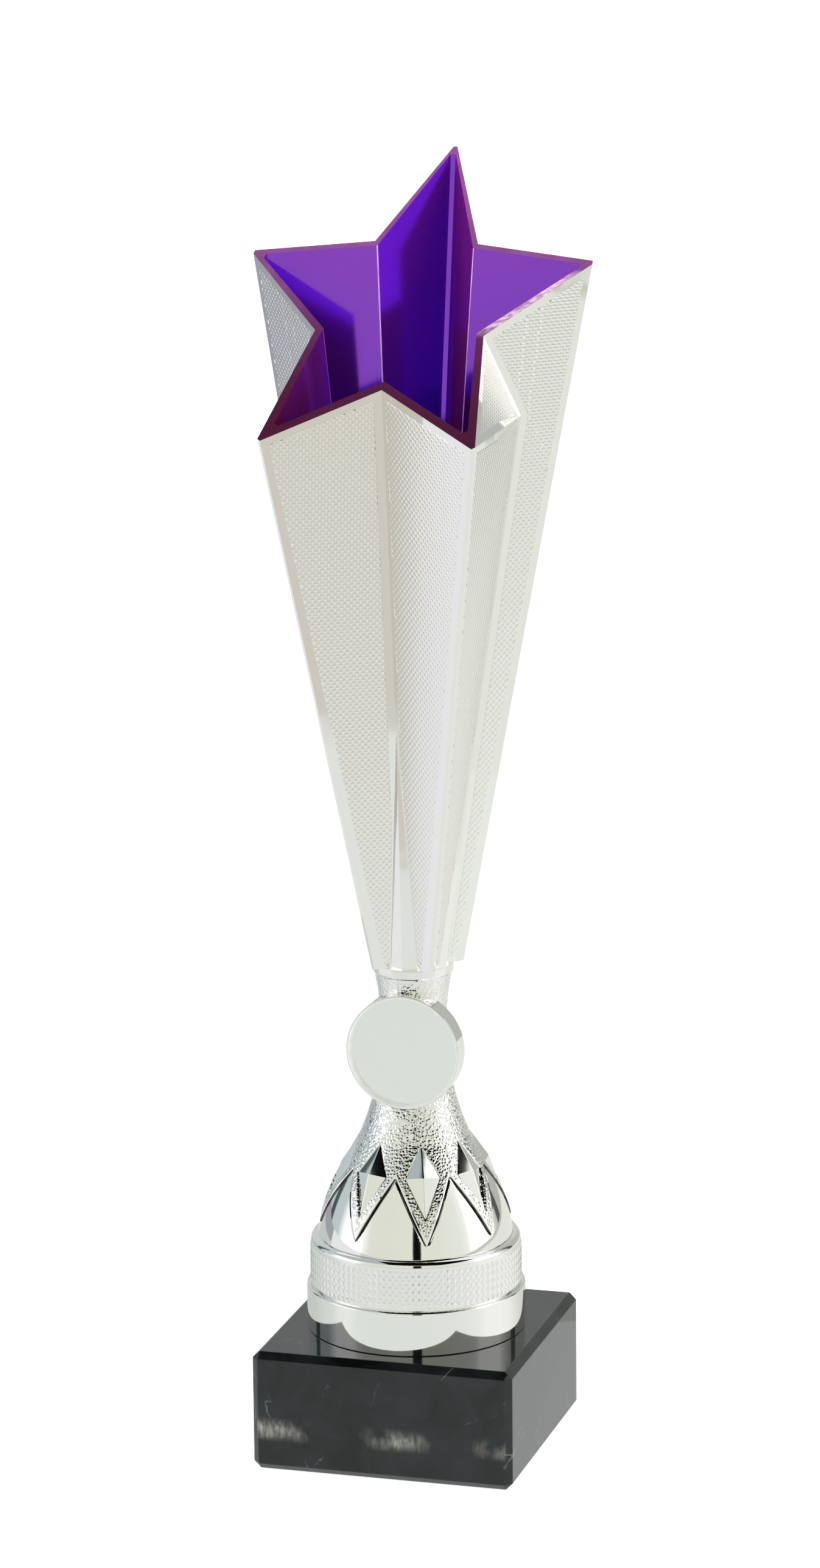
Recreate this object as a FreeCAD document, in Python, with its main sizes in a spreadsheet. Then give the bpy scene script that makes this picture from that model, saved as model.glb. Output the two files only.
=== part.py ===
# Column trophy: a star-section cup on a slim riser, a two-band ring and a marble block,
# all clamped on one M6 rod. Millimetres, +Z up, origin under the middle of the marble,
# front (the emblem side) towards -Y.
import FreeCAD, Part
import math
import os
import Sketcher

from FreeCAD import Placement, Rotation, Vector

doc = FreeCAD.newDocument("ColumnTrophy")

# --- driving dimensions ---------------------------------------------------------------

SIZES = [
    ("marble_width", 62.0, "side of the square marble block"),
    ("marble_height", 28.5, "height of the block"),
    ("marble_bevel", 1.65, "polished bevel on every edge"),
    ("marble_bore", 8.0, "clearance bore for the rod"),
    ("counterbore_width", 22.0, "diameter of the counterbore under the block"),
    ("counterbore_depth", 9.0, "depth of that counterbore"),
    ("rod_width", 6.0, "M6 rod, over the thread crests"),
    ("rod_start", 1.4, "height of the rod's lower end"),
    ("rod_length", 126.1, "length of the rod"),
    ("rod_bevel", 0.7, "bevel on the rod's ends"),
    ("washer_hole", 6.4, "hole in both washers"),
    ("base_washer_width", 18.0, "washer in the counterbore"),
    ("base_washer_thickness", 1.6, "thickness of that washer"),
    ("cup_washer_width", 12.0, "washer on the cup's floor"),
    ("cup_washer_thickness", 1.6, "thickness of that washer"),
    ("nut_flats", 10.0, "M6 nut across its flats"),
    ("nut_height", 5.0, "height of an M6 nut"),
    ("nut_crown_start", 4.8, "radius where the nut's corner bevel starts"),
    ("nut_crown_reach", 6.7, "radius past the corners, where its cut ends"),
    ("nut_crown", 0.9, "depth of that cut"),
    ("clearance_radius", 3.3, "radius of the rod holes in the mouldings"),
    ("overcut", 1.0, "how far a cutting shape runs past the face it cuts"),
    ("plain_band_radius", 25.5, "lower, polished band of the ring"),
    ("plain_band_top", 39.0, "height of the step between the bands"),
    ("plain_band_round", 0.6, "rounded upper edge of the polished band"),
    ("knurled_band_radius", 24.5, "upper, knurled band of the ring"),
    ("knurled_band_top", 49.0, "where the knurled band's shoulder starts"),
    ("shoulder_radius", 22.9, "inner end of the rounded shoulder"),
    ("shoulder_round", 2.0, "radius of the shoulder's arc"),
    ("ring_wall", 2.2, "wall of the ring moulding"),
    ("ring_top", 50.8, "deck that the riser stands on"),
    ("spigot_radius", 20.2, "outside of the locating rib on the deck"),
    ("spigot_height", 1.4, "height of that rib"),
    ("foot_radius", 22.75, "outside of the bell skirt at its foot"),
    ("foot_wall", 2.0, "wall of the riser moulding"),
    ("inner_drop", 1.0, "how much lower the flare starts inside"),
    ("bell_radius", 18.4, "skirt radius where its flare begins"),
    ("bell_height", 64.0, "height of that place"),
    ("bell_round", 43.0, "radius of the skirt's convex arc"),
    ("throat_radius", 12.65, "skirt radius where the neck's arc begins"),
    ("throat_height", 75.0, "height of that place"),
    ("neck_round", 65.0, "radius of the neck's concave arc"),
    ("neck_radius", 8.65, "neck radius under the flange"),
    ("neck_top", 111.3, "height of that place"),
    ("flange_radius", 9.5, "polished flange under the cup"),
    ("flange_under", 113.1, "height of the flange's lower edge"),
    ("cup_foot", 115.75, "height of the flange's top, where the cup stands"),
    ("plate_thickness", 2.5, "end plate of the riser under the cup"),
    ("emblem_width", 25.4, "recess for a one-inch emblem disc"),
    ("emblem_depth", 1.5, "depth of that recess"),
    ("holder_width", 26.9, "outside of the emblem holder"),
    ("holder_height", 96.4, "height of its centre"),
    ("holder_front", 9.9, "its front face, forward of the axis"),
    ("holder_thickness", 5.9, "its thickness, front to back"),
    ("diamond_top", 75.0, "upper corner of each skirt diamond"),
    ("diamond_middle", 68.1, "side corners of each diamond"),
    ("diamond_foot", 59.4, "lower corner of each diamond"),
    ("diamond_foot_radius", 20.55, "skirt radius at the lower corner"),
    ("diamond_side_radius", 16.3, "skirt radius at the side corners"),
    ("diamond_side_angle", 14.4, "half of the angle a diamond spans"),
    ("diamond_crest_radius", 17.2, "radius of the crest of the four facets"),
    ("diamond_crest_height", 68.6, "height of that crest"),
    ("diamond_root_radius", 13.8, "buried rear corner of the diamond solid"),
    ("rim_height", 267.36, "height of the sloping rim on the axis"),
    ("rim_slope", 36.67, "slope of the rim, rising to the back"),
    ("tip_radius", 41.8, "radius of the five points at the rim"),
    ("tip_foot_radius", 11.66, "radius of the points at the cup's foot"),
    ("tip_flat", 0.88, "width of the blunt edge of each point"),
    ("valley_radius", 20.6, "radius of the five valleys at the rim"),
    ("front_draft", 1.08, "mould draft of the walls beside the front points"),
    ("upper_draft", 1.87, "mould draft of the small facets above those walls"),
    ("gusset_ridge", 9.1, "radius of each gusset's ridge at the foot"),
    ("gusset_height", 56.7, "height at which a gusset dies into its valley"),
    ("gusset_turn", 23.3, "angle of a gusset's facet off the tangent"),
    ("rim_wall", 1.55, "cup wall at the axis, along the rim"),
    ("rim_wall_taper", 0.016, "loss of wall per millimetre towards the back"),
    ("foot_shrink", 2.9, "cavity corner inside the point, at the floor"),
    ("cavity_flat", 1.2, "width of the cavity's corner flats"),
    ("cavity_ridge", 7.6, "radius of the gusset ridges inside, at the floor"),
    ("floor_thickness", 3.0, "floor of the cup"),
]

sheet = doc.addObject("Spreadsheet::Sheet", "Sizes")
for row, (alias, value, note) in enumerate(SIZES, start=1):
    sheet.set(f"A{row}", alias)
    sheet.set(f"B{row}", str(value))
    sheet.setAlias(f"B{row}", alias)
    sheet.set(f"C{row}", note)
doc.recompute()


def size(alias):
    return float(getattr(sheet, alias))


def value_of(formula):
    """Number of a formula of cell names, such as 'ring_top - ring_wall'."""
    return sum(
        (-1 if sign == "-" else 1) * (float(word) if word[0].isdigit() else size(word))
        for sign, word in zip(["+"] + formula.split()[1::2], formula.split()[0::2])
    )


def bind(obj, prop, formula):
    """Drive a property from the sheet with the same kind of formula."""
    words = [
        word if word[0].isdigit() or word in "+-" else f"Sizes.{word}"
        for word in formula.split()
    ]
    obj.setExpression(prop, " ".join(words))


# --- sketches -------------------------------------------------------------------------

def new_body(name):
    body = doc.addObject("PartDesign::Body", name.title().replace("_", ""))
    body.Label = name
    return body


def body_sketch(body, role, lift=None):
    """Sketch on one of the body's own planes, lifted off it by a formula."""
    sketch = body.newObject("Sketcher::SketchObject", body.Name + "Sketch")
    plane = next(item for item in body.Origin.OriginFeatures if item.Role == role)
    sketch.AttachmentSupport = [(plane, "")]
    sketch.MapMode = "FlatFace"
    if lift:
        bind(sketch, "AttachmentOffset.Base.z", lift)
    return sketch


def hold(sketch, geometry, point, axis, formula):
    """Hold one point of the geometry at a formula's distance along an axis."""
    value = value_of(formula)
    row = sketch.addConstraint(
        Sketcher.Constraint(f"Distance{axis}", -1, 1, geometry, point, value))
    if not formula.replace(".", "").isdigit():
        bind(sketch, f"Constraints[{row}]", formula)


def arc_between(start, end, radius, side):
    """Short arc of a given radius, its centre to the left (1) or right (-1)."""
    half = (end - start) / 2
    across = Vector(-half.y, half.x, 0).normalize() * side
    centre = start + half + across * math.sqrt(radius ** 2 - half.Length ** 2)
    return Part.Arc(start, centre - across * radius, end)


def outline(sketch, corners):
    """Closed outline through (x, y) formulas; an arc leads to a corner that also gives
    the formula of its radius and the side of its centre."""
    places = [Vector(value_of(corner[0]), value_of(corner[1]), 0) for corner in corners]
    ends = []
    for index, corner in enumerate(corners):
        start = places[index - 1]
        if len(corner) == 4:
            curve = arc_between(start, places[index], value_of(corner[2]), corner[3])
        else:
            curve = Part.LineSegment(start, places[index])
        line = sketch.addGeometry(curve, False)
        turned = (sketch.getPoint(line, 1) - start).Length > 1e-6
        ends.append((line, 2 if turned else 1, 1 if turned else 2))
    for index, corner in enumerate(corners):
        line, _, end = ends[index]
        following, start, _ = ends[(index + 1) % len(corners)]
        sketch.addConstraint(Sketcher.Constraint("Coincident", line, end, following, start))
        hold(sketch, line, end, "X", corner[0])
        hold(sketch, line, end, "Y", corner[1])
        if len(corner) == 4:
            row = sketch.addConstraint(
                Sketcher.Constraint("Radius", line, value_of(corner[2])))
            bind(sketch, f"Constraints[{row}]", corner[2])


def circle(sketch, alias, factor=0.5, height=None):
    """Circle on the sketch's vertical axis; its radius is a cell times a factor."""
    centre = Vector(0, size(height) if height else 0, 0)
    ring = sketch.addGeometry(Part.Circle(centre, Vector(0, 0, 1), size(alias) * factor), False)
    if height:
        sketch.addConstraint(Sketcher.Constraint("PointOnObject", ring, 3, -2))
        hold(sketch, ring, 3, "Y", height)
    else:
        sketch.addConstraint(Sketcher.Constraint("Coincident", ring, 3, -1, 1))
    row = sketch.addConstraint(Sketcher.Constraint("Radius", ring, size(alias) * factor))
    sketch.setExpression(f"Constraints[{row}]", f"Sizes.{alias} * {factor}")


def pad(body, sketch, length):
    feature = body.newObject("PartDesign::Pad", body.Name + "Pad")
    feature.Profile = sketch
    bind(feature, "Length", length)
    doc.recompute()
    return feature


def bevel_edges(body, feature, edges, alias):
    chamfer = body.newObject("PartDesign::Chamfer", body.Name + "Chamfer")
    chamfer.Base = (feature, edges)
    bind(chamfer, "Size", alias)
    doc.recompute()
    return chamfer


def spin(body, sketch, kind="PartDesign::Revolution"):
    feature = body.newObject(kind, body.Name + "Turned")
    feature.Profile = sketch
    feature.ReferenceAxis = (sketch, ["V_Axis"])
    feature.Angle = 360
    doc.recompute()
    return feature


# --- marble_base: sawn, bevelled and polished block, bored for the rod ------------------

marble = new_body("marble_base")
half_width = size("marble_width") / 2
square = body_sketch(marble, "XY_Plane")
corner_signs = [(-1, -1), (1, -1), (1, 1), (-1, 1)]
for index, (x, y) in enumerate(corner_signs):
    next_x, next_y = corner_signs[(index + 1) % 4]
    square.addGeometry(Part.LineSegment(
        Vector(x, y, 0) * half_width, Vector(next_x, next_y, 0) * half_width), False)
for index, (x, y) in enumerate(corner_signs):
    square.addConstraint(Sketcher.Constraint("Coincident", index, 2, (index + 1) % 4, 1))
    for axis, sign in (("X", x), ("Y", y)):
        row = square.addConstraint(
            Sketcher.Constraint(f"Distance{axis}", -1, 1, index, 1, sign * half_width))
        square.setExpression(f"Constraints[{row}]", f"Sizes.marble_width * {sign / 2}")
block = pad(marble, square, "marble_height")
bevelled = bevel_edges(marble, block, [f"Edge{n + 1}" for n in range(12)], "marble_bevel")
bore_sketch = body_sketch(marble, "XY_Plane")
circle(bore_sketch, "marble_bore")
doc.recompute()
bore = marble.newObject("PartDesign::Hole", "MarbleBore")
bore.Profile = bore_sketch
doc.recompute()
bore.Threaded = False
bore.DepthType = "ThroughAll"
bore.HoleCutType = "Counterbore"
bore.HoleCutCustomValues = True
bore.Reversed = True
bind(bore, "Diameter", "marble_bore")
bind(bore, "HoleCutDiameter", "counterbore_width")
bind(bore, "HoleCutDepth", "counterbore_depth")
doc.recompute()


# --- rod, washers and nuts: zinc-plated M6 hardware -------------------------------------

rod = new_body("threaded_rod")
rod_sketch = body_sketch(rod, "XY_Plane", "rod_start")
circle(rod_sketch, "rod_width")
rod_pad = pad(rod, rod_sketch, "rod_length")
end_edges = [f"Edge{n + 1}" for n, edge in enumerate(rod_pad.Shape.Edges)
             if isinstance(edge.Curve, Part.Circle)]
bevel_edges(rod, rod_pad, end_edges, "rod_bevel")


def washer(name, lift, width, thickness):
    body = new_body(name)
    sketch = body_sketch(body, "XY_Plane", lift)
    circle(sketch, width)
    circle(sketch, "washer_hole")
    pad(body, sketch, thickness)


def hexagon_nut(name, lift):
    """Hexagon with a plain bore, its upper corners turned off."""
    body = new_body(name)
    sketch = body_sketch(body, "XY_Plane", lift)
    corner_radius = size("nut_flats") / math.sqrt(3)
    corners = [Vector(corner_radius * math.cos(math.radians(60 * n)),
                      corner_radius * math.sin(math.radians(60 * n)), 0) for n in range(6)]
    for index in range(6):
        sketch.addGeometry(Part.LineSegment(corners[index], corners[(index + 1) % 6]), False)
    for index in range(6):
        sketch.addConstraint(Sketcher.Constraint("Coincident", index, 2, (index + 1) % 6, 1))
        for axis, share in (("X", math.cos(math.radians(60 * index))),
                            ("Y", math.sin(math.radians(60 * index)))):
            row = sketch.addConstraint(Sketcher.Constraint(
                f"Distance{axis}", -1, 1, index, 1, corner_radius * share))
            sketch.setExpression(
                f"Constraints[{row}]", f"Sizes.nut_flats * {share / math.sqrt(3):.9f}")
    circle(sketch, "rod_width")
    pad(body, sketch, "nut_height")
    crowns = body_sketch(body, "XZ_Plane")
    outline(crowns, [
        ("nut_crown_start", f"{lift} + nut_height"),
        ("nut_crown_reach", f"{lift} + nut_height - nut_crown"),
        ("nut_crown_reach", f"{lift} + nut_height"),
    ])
    spin(body, crowns, "PartDesign::Groove")


NUT_LIFT = "counterbore_depth - base_washer_thickness - nut_height"
CUP_FLOOR = "cup_foot + floor_thickness"
washer("base_washer", "counterbore_depth - base_washer_thickness",
       "base_washer_width", "base_washer_thickness")
hexagon_nut("base_nut", NUT_LIFT)
washer("cup_washer", CUP_FLOOR, "cup_washer_width", "cup_washer_thickness")
hexagon_nut("cup_nut", f"{CUP_FLOOR} + cup_washer_thickness")


# --- ring_base: hollow moulding, a knurled band over a slightly wider polished one -------

ring = new_body("ring_base")
ring_section = body_sketch(ring, "XZ_Plane")
outline(ring_section, [
    ("plain_band_radius - ring_wall", "marble_height"),
    ("plain_band_radius", "marble_height"),
    ("plain_band_radius", "plain_band_top - plain_band_round"),
    ("plain_band_radius - plain_band_round", "plain_band_top", "plain_band_round", 1),
    ("knurled_band_radius", "plain_band_top"),
    ("knurled_band_radius", "knurled_band_top"),
    ("shoulder_radius", "ring_top", "shoulder_round", 1),
    ("spigot_radius", "ring_top"),
    ("spigot_radius", "ring_top + spigot_height"),
    ("spigot_radius - ring_wall", "ring_top + spigot_height"),
    ("spigot_radius - ring_wall", "ring_top"),
    ("clearance_radius", "ring_top"),
    ("clearance_radius", "ring_top - ring_wall"),
    ("plain_band_radius - ring_wall", "ring_top - ring_wall"),
])
spin(ring, ring_section)


# --- riser: hollow moulding with neck, emblem holder and bell skirt ----------------------

def turned_section(name, corners):
    """Solid turned about Z from an outline in the XZ plane."""
    sketch = doc.addObject("Sketcher::SketchObject", name + "Sketch")
    sketch.Placement = Placement(Vector(), Rotation(Vector(1, 0, 0), 90))
    outline(sketch, corners)
    turned = doc.addObject("Part::Revolution", name)
    turned.Source = sketch
    turned.Axis = Vector(0, 0, 1)
    turned.Base = Vector()
    turned.Angle = 360
    turned.Solid = True
    return turned


def forward_cylinder(name, width, back, depth):
    """Cylinder along Y around the emblem's centre, from one place forward to another."""
    cylinder = doc.addObject("Part::Cylinder", name)
    cylinder.Placement = Placement(
        Vector(0, -value_of(back), size("holder_height")), Rotation(Vector(1, 0, 0), 90))
    cylinder.setExpression("Radius", f"Sizes.{width} / 2")
    bind(cylinder, "Height", depth)
    return cylinder


def joined(kind, name, shapes):
    group = doc.addObject(kind, name)
    group.Shapes = shapes
    return group


def cut(name, base, tool):
    result = doc.addObject("Part::Cut", name.title().replace("_", ""))
    result.Label = name
    result.Base = base
    result.Tool = tool
    return result


def solid_of(faces):
    """Solid closed by flat faces, each given by its corners."""
    shells = Part.makeShell([Part.Face(Part.makePolygon(list(corners) + [corners[0]]))
                             for corners in faces])
    solid = Part.makeSolid(shells)
    if solid.Volume < 0:
        solid.reverse()
    return solid


def polar(radius, azimuth, height):
    angle = math.radians(azimuth)
    return Vector(radius * math.cos(angle), radius * math.sin(angle), height)


def diamond(azimuth):
    """Four-facet diamond, its rear corner buried in the skirt's wall."""
    side = size("diamond_side_angle")
    girdle = [
        polar(size("throat_radius"), azimuth, size("diamond_top")),
        polar(size("diamond_side_radius"), azimuth - side, size("diamond_middle")),
        polar(size("diamond_foot_radius"), azimuth, size("diamond_foot")),
        polar(size("diamond_side_radius"), azimuth + side, size("diamond_middle")),
    ]
    crest = polar(size("diamond_crest_radius"), azimuth, size("diamond_crest_height"))
    root = polar(size("diamond_root_radius"), azimuth, size("diamond_middle"))
    edges = list(zip(girdle, girdle[1:] + girdle[:1]))
    return solid_of([(crest, first, second) for first, second in edges]
                    + [(root, second, first) for first, second in edges])


bell = turned_section("Bell", [
    ("0", "ring_top"),
    ("foot_radius", "ring_top"),
    ("bell_radius", "bell_height", "bell_round", 1),
    ("throat_radius", "throat_height"),
    ("neck_radius", "neck_top", "neck_round", -1),
    ("flange_radius", "flange_under"),
    ("flange_radius", "cup_foot"),
    ("0", "cup_foot"),
])
hollow = turned_section("BellHollow", [
    ("clearance_radius", "ring_top - overcut"),
    ("foot_radius - foot_wall", "ring_top - overcut"),
    ("foot_radius - foot_wall", "ring_top + spigot_height"),
    ("bell_radius - foot_wall", "bell_height - inner_drop", "bell_round", 1),
    ("throat_radius - foot_wall", "throat_height - inner_drop"),
    ("neck_radius - foot_wall", "neck_top", "neck_round", -1),
    ("neck_radius - foot_wall", "cup_foot - plate_thickness"),
    ("clearance_radius", "cup_foot - plate_thickness"),
    ("clearance_radius", "cup_foot + overcut"),
    ("0", "cup_foot + overcut"),
    ("0", "ring_top - overcut"),
])
holder = forward_cylinder("EmblemHolder", "holder_width",
                          "holder_front - holder_thickness", "holder_thickness")
recess = forward_cylinder("EmblemRecess", "emblem_width",
                          "holder_front - emblem_depth", "emblem_depth + overcut")

DIAMOND_COUNT = 8
diamonds = []
for number in range(DIAMOND_COUNT):
    facet_solid = doc.addObject("Part::Feature", f"Diamond{number + 1}")
    facet_solid.Shape = diamond((number + 0.5) * 360 / DIAMOND_COUNT)
    diamonds.append(facet_solid)

riser_outside = joined("Part::MultiFuse", "RiserOutside", [bell, holder] + diamonds)
riser_inside = joined("Part::MultiFuse", "RiserInside", [hollow, recess])
riser = cut("riser", riser_outside, riser_inside)


# --- star_cup: five-pointed star section with a sloping rim ------------------------------

def plane_through(first, second, third):
    normal = (second - first).cross(third - first).normalize()
    return normal, normal.dot(first)


def meeting(first, second, third):
    """Point that three planes share."""
    (n1, d1), (n2, d2), (n3, d3) = first, second, third
    mixed = n2.cross(n3) * d1 + n3.cross(n1) * d2 + n1.cross(n2) * d3
    return mixed / n1.dot(n2.cross(n3))


def level(height):
    return Vector(0, 0, 1), height


def drafted_plane(point, edge, side, draft):
    """Wall along an edge that a mould half pulled towards -Y can leave: its normal
    points to the side and turns forward by the draft angle."""
    turn = math.radians(draft)
    across = Vector(side * math.cos(turn), -math.sin(turn), 0)
    across.z = -across.dot(edge) / edge.z
    across.normalize()
    return across, across.dot(point)


# Azimuths of the two valleys beside the front points, and which of the valley's two walls
# belongs to the front point.
FRONT_WALL = {198: 1, 342: 0}


def star_solid(wall, flat, foot_radius, ridge_radius, foot_height, drafted):
    """Star between the level foot and the sloping rim. wall(y) is the inset from the
    cup's outside. Beside the two front points the walls are drafted, on the outside."""
    rise = math.tan(math.radians(size("rim_slope")))
    tip_share = 2.3       # how much further a wall's inset moves a point than a panel
    valley_share = 1.135  # the same for a valley

    def on_rim(radius, azimuth, share):
        place = polar(radius, azimuth, 0)
        place = polar(radius - share * wall(place.y), azimuth, 0)
        place.z = size("rim_height") + place.y * rise
        return place

    def tip(azimuth, side):
        """Rim end and foot end of one edge of a point's blunt strip."""
        middle = polar(foot_radius, azimuth, foot_height)
        along = on_rim(size("tip_radius"), azimuth, tip_share) - middle
        foot = middle + polar(side * flat / 2, azimuth + 90, 0)
        reach = size("rim_height") + foot.y * rise - foot.z
        return foot + along * (reach / (along.z - along.y * rise)), foot

    faces, rim, base = [], [], []
    for azimuth in range(54, 360, 72):
        valley = on_rim(size("valley_radius"), azimuth, valley_share)
        ridge_foot = polar(ridge_radius, azimuth, foot_height)
        walls = []
        for side in (1, -1):
            top, foot = tip(azimuth - 36 * side, side)
            walls.append((side, top, foot, plane_through(foot, top, valley)))
        front = FRONT_WALL.get(azimuth) if drafted else None
        if front is not None:
            side, top, foot, _ = walls[front]
            outward = math.copysign(1, valley.x)
            lower = drafted_plane(foot, top - foot, outward, size("front_draft"))
            upper = drafted_plane(top, valley - top, outward, size("upper_draft"))
            kink = meeting(lower, upper, walls[1 - front][3])
            walls[front] = (side, top, foot, lower)
            faces.append([top, valley, kink])
        crease_top = meeting(walls[0][3], walls[1][3],
                             level(size("cup_foot") + size("gusset_height")))
        foot_line = []
        for index, (side, top, foot, plane) in enumerate(walls):
            facet_way = polar(1, azimuth - side * (90 + size("gusset_turn")), 0)
            facet = plane_through(ridge_foot, crease_top, ridge_foot + facet_way)
            landing = meeting(facet, plane, level(foot_height))
            if front is None:
                upper_end = [valley]
            elif index == front:
                upper_end = [kink]
            else:
                upper_end = [valley, kink]
            faces.append([foot, top] + upper_end + [crease_top, landing])
            faces.append([landing, ridge_foot, crease_top])
            foot_line.append((foot, landing))
        rim += [walls[0][1], valley, walls[1][1]]
        base += [foot_line[0][0], foot_line[0][1], ridge_foot, foot_line[1][1], foot_line[1][0]]
        near_top, near_foot = tip(azimuth + 36, -1)
        far_top, far_foot = tip(azimuth + 36, 1)
        faces.append([near_foot, near_top, far_top, far_foot])
    faces += [rim, base]
    return solid_of(faces)


def no_wall(y):
    return 0.0


def tapered_wall(y):
    return size("rim_wall") - size("rim_wall_taper") * y


cup_outside = doc.addObject("Part::Feature", "CupOutside")
cup_outside.Shape = star_solid(no_wall, size("tip_flat"), size("tip_foot_radius"),
                               size("gusset_ridge"), size("cup_foot"), True)
cavity = doc.addObject("Part::Feature", "CupCavity")
cavity.Shape = star_solid(tapered_wall, size("cavity_flat"),
                          size("tip_foot_radius") - size("foot_shrink"),
                          size("cavity_ridge"), value_of(CUP_FLOOR), False)
floor_hole = doc.addObject("Part::Cylinder", "FloorHole")
bind(floor_hole, "Radius", "clearance_radius")
bind(floor_hole, "Height", "floor_thickness + overcut + overcut")
bind(floor_hole, "Placement.Base.z", "cup_foot - overcut")
cup_inside = joined("Part::MultiFuse", "CupInside", [cavity, floor_hole])
star_cup = cut("star_cup", cup_outside, cup_inside)


# --- checks and STEP files ---------------------------------------------------------------

doc.recompute()
NODES = [
    "marble_base", "threaded_rod", "base_washer", "base_nut",
    "ring_base", "riser", "star_cup", "cup_washer", "cup_nut",
]
for item in doc.Objects:
    if "Invalid" in item.State or "Error" in item.State:
        raise RuntimeError(f"{item.Name} failed: {item.State}")
os.makedirs("parts", exist_ok=True)
for node in NODES:
    piece = doc.getObjectsByLabel(node)[0]
    if piece.Shape.isNull() or not piece.Shape.isValid() or len(piece.Shape.Solids) != 1:
        raise RuntimeError(f"{node} isn't one valid solid")
    piece.Shape.exportStep(os.path.join("parts", node + ".step"))
    box = piece.Shape.optimalBoundingBox()
    print(f"{node}: {piece.Shape.Volume:.0f} mm3, z {box.ZMin:.2f} to {box.ZMax:.2f}, "
          f"{box.XLength:.2f} x {box.YLength:.2f}")
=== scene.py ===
from math import atan2, ceil, cos, hypot, pi, radians, sin, sqrt

import bmesh
import bpy
from mathutils import Matrix, Vector, noise
from mathutils.geometry import intersect_line_plane, intersect_point_tri, tessellate_polygon


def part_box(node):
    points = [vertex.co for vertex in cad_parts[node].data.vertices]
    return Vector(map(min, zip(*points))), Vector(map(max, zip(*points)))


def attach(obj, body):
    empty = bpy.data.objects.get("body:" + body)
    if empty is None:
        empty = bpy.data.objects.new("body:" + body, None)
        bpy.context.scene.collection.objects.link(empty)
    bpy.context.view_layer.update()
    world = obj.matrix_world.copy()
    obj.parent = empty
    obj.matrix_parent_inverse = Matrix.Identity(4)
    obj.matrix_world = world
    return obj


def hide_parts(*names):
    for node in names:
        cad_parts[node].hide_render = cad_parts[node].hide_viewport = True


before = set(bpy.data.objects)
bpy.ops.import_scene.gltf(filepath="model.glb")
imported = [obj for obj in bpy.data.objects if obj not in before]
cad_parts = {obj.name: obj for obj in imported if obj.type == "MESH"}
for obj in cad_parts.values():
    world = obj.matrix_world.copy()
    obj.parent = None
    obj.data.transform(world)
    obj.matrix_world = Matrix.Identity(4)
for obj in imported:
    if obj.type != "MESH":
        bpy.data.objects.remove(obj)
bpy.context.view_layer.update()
scene = bpy.context.scene
MM = 0.001


# Marble block. A sawn block of near-black marble, its edges bevelled on a stone wheel and
# every face polished. A bore takes the rod, and a counterbore underneath takes its nut.

BLOCK_EDGE_EASE = 0.18 * MM


def cad_copy(node):
    """A CAD node's mesh with its triangles merged back into whole faces."""
    bm = bmesh.new()
    bm.from_mesh(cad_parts[node].data)
    bmesh.ops.remove_doubles(bm, verts=bm.verts, dist=0.002 * MM)
    bmesh.ops.dissolve_limit(bm, angle_limit=radians(0.5), verts=bm.verts, edges=bm.edges)
    return bm


def round_off(bm, edges, width, segments=2):
    """Rounds off some edges and returns the new faces."""
    return bmesh.ops.bevel(bm, geom=edges, offset=width, offset_type="OFFSET", affect="EDGES",
                           segments=segments, profile=0.5, material=-1,
                           clamp_overlap=True)["faces"]


def ease(bm, width, sharper_than):
    """Rounds off every edge that is sharper than an angle in degrees."""
    limit = radians(sharper_than)
    round_off(bm, [e for e in bm.edges if e.is_manifold and e.calc_face_angle() > limit], width)


def shade(edges, smooth_below):
    """Keeps an edge crisp where its faces meet at a wider angle than this many degrees."""
    for edge in edges:
        if edge.smooth:
            edge.smooth = edge.is_manifold and edge.calc_face_angle() < radians(smooth_below)


def new_object(name, bm, materials):
    """Turns a bmesh into an object whose place is in its mesh."""
    mesh = bpy.data.meshes.new(name)
    bm.to_mesh(mesh)
    bm.free()
    for material in materials:
        mesh.materials.append(material)
    thing = bpy.data.objects.new(name, mesh)
    scene.collection.objects.link(thing)
    return thing


def make_piece(name, bm, materials, slot, *nodes, smooth_below=32):
    """Turns a bmesh into a piece that rides on the body and stands for its CAD nodes."""
    shade(bm.edges, smooth_below)
    for face in bm.faces:
        face.smooth = True
    piece = new_object(name, bm, materials)
    level_faces = piece.modifiers.new("level_faces", "WEIGHTED_NORMAL")
    level_faces.keep_sharp = True
    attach(piece, "root")
    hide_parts(*nodes)
    return piece


def colour(hex_value):
    """An sRGB hex colour as linear RGBA."""
    parts = [int(hex_value[i:i + 2], 16) / 255 for i in (1, 3, 5)]
    return [c / 12.92 if c <= 0.04045 else ((c + 0.055) / 1.055) ** 2.4 for c in parts] + [1.0]


def add_node(tree, kind, inputs, **settings):
    """Adds a shader node with its settings, and sets or links its inputs."""
    node = tree.nodes.new("ShaderNode" + kind)
    for name, value in settings.items():
        setattr(node, name, value)
    for key, value in inputs.items():
        if isinstance(value, bpy.types.NodeSocket):
            tree.links.new(value, node.inputs[key])
        else:
            node.inputs[key].default_value = value
    return node


def new_material(name, **values):
    """A material with a Principled shader, and the piece's own coordinates in metres."""
    material = bpy.data.materials.new(name)
    material.use_nodes = True
    tree = material.node_tree
    shader = tree.nodes["Principled BSDF"]
    for key, value in values.items():
        shader.inputs[key.replace("_", " ")].default_value = value
    place = add_node(tree, "TexCoord", {}).outputs["Object"]
    return material, tree, shader, place


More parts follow.
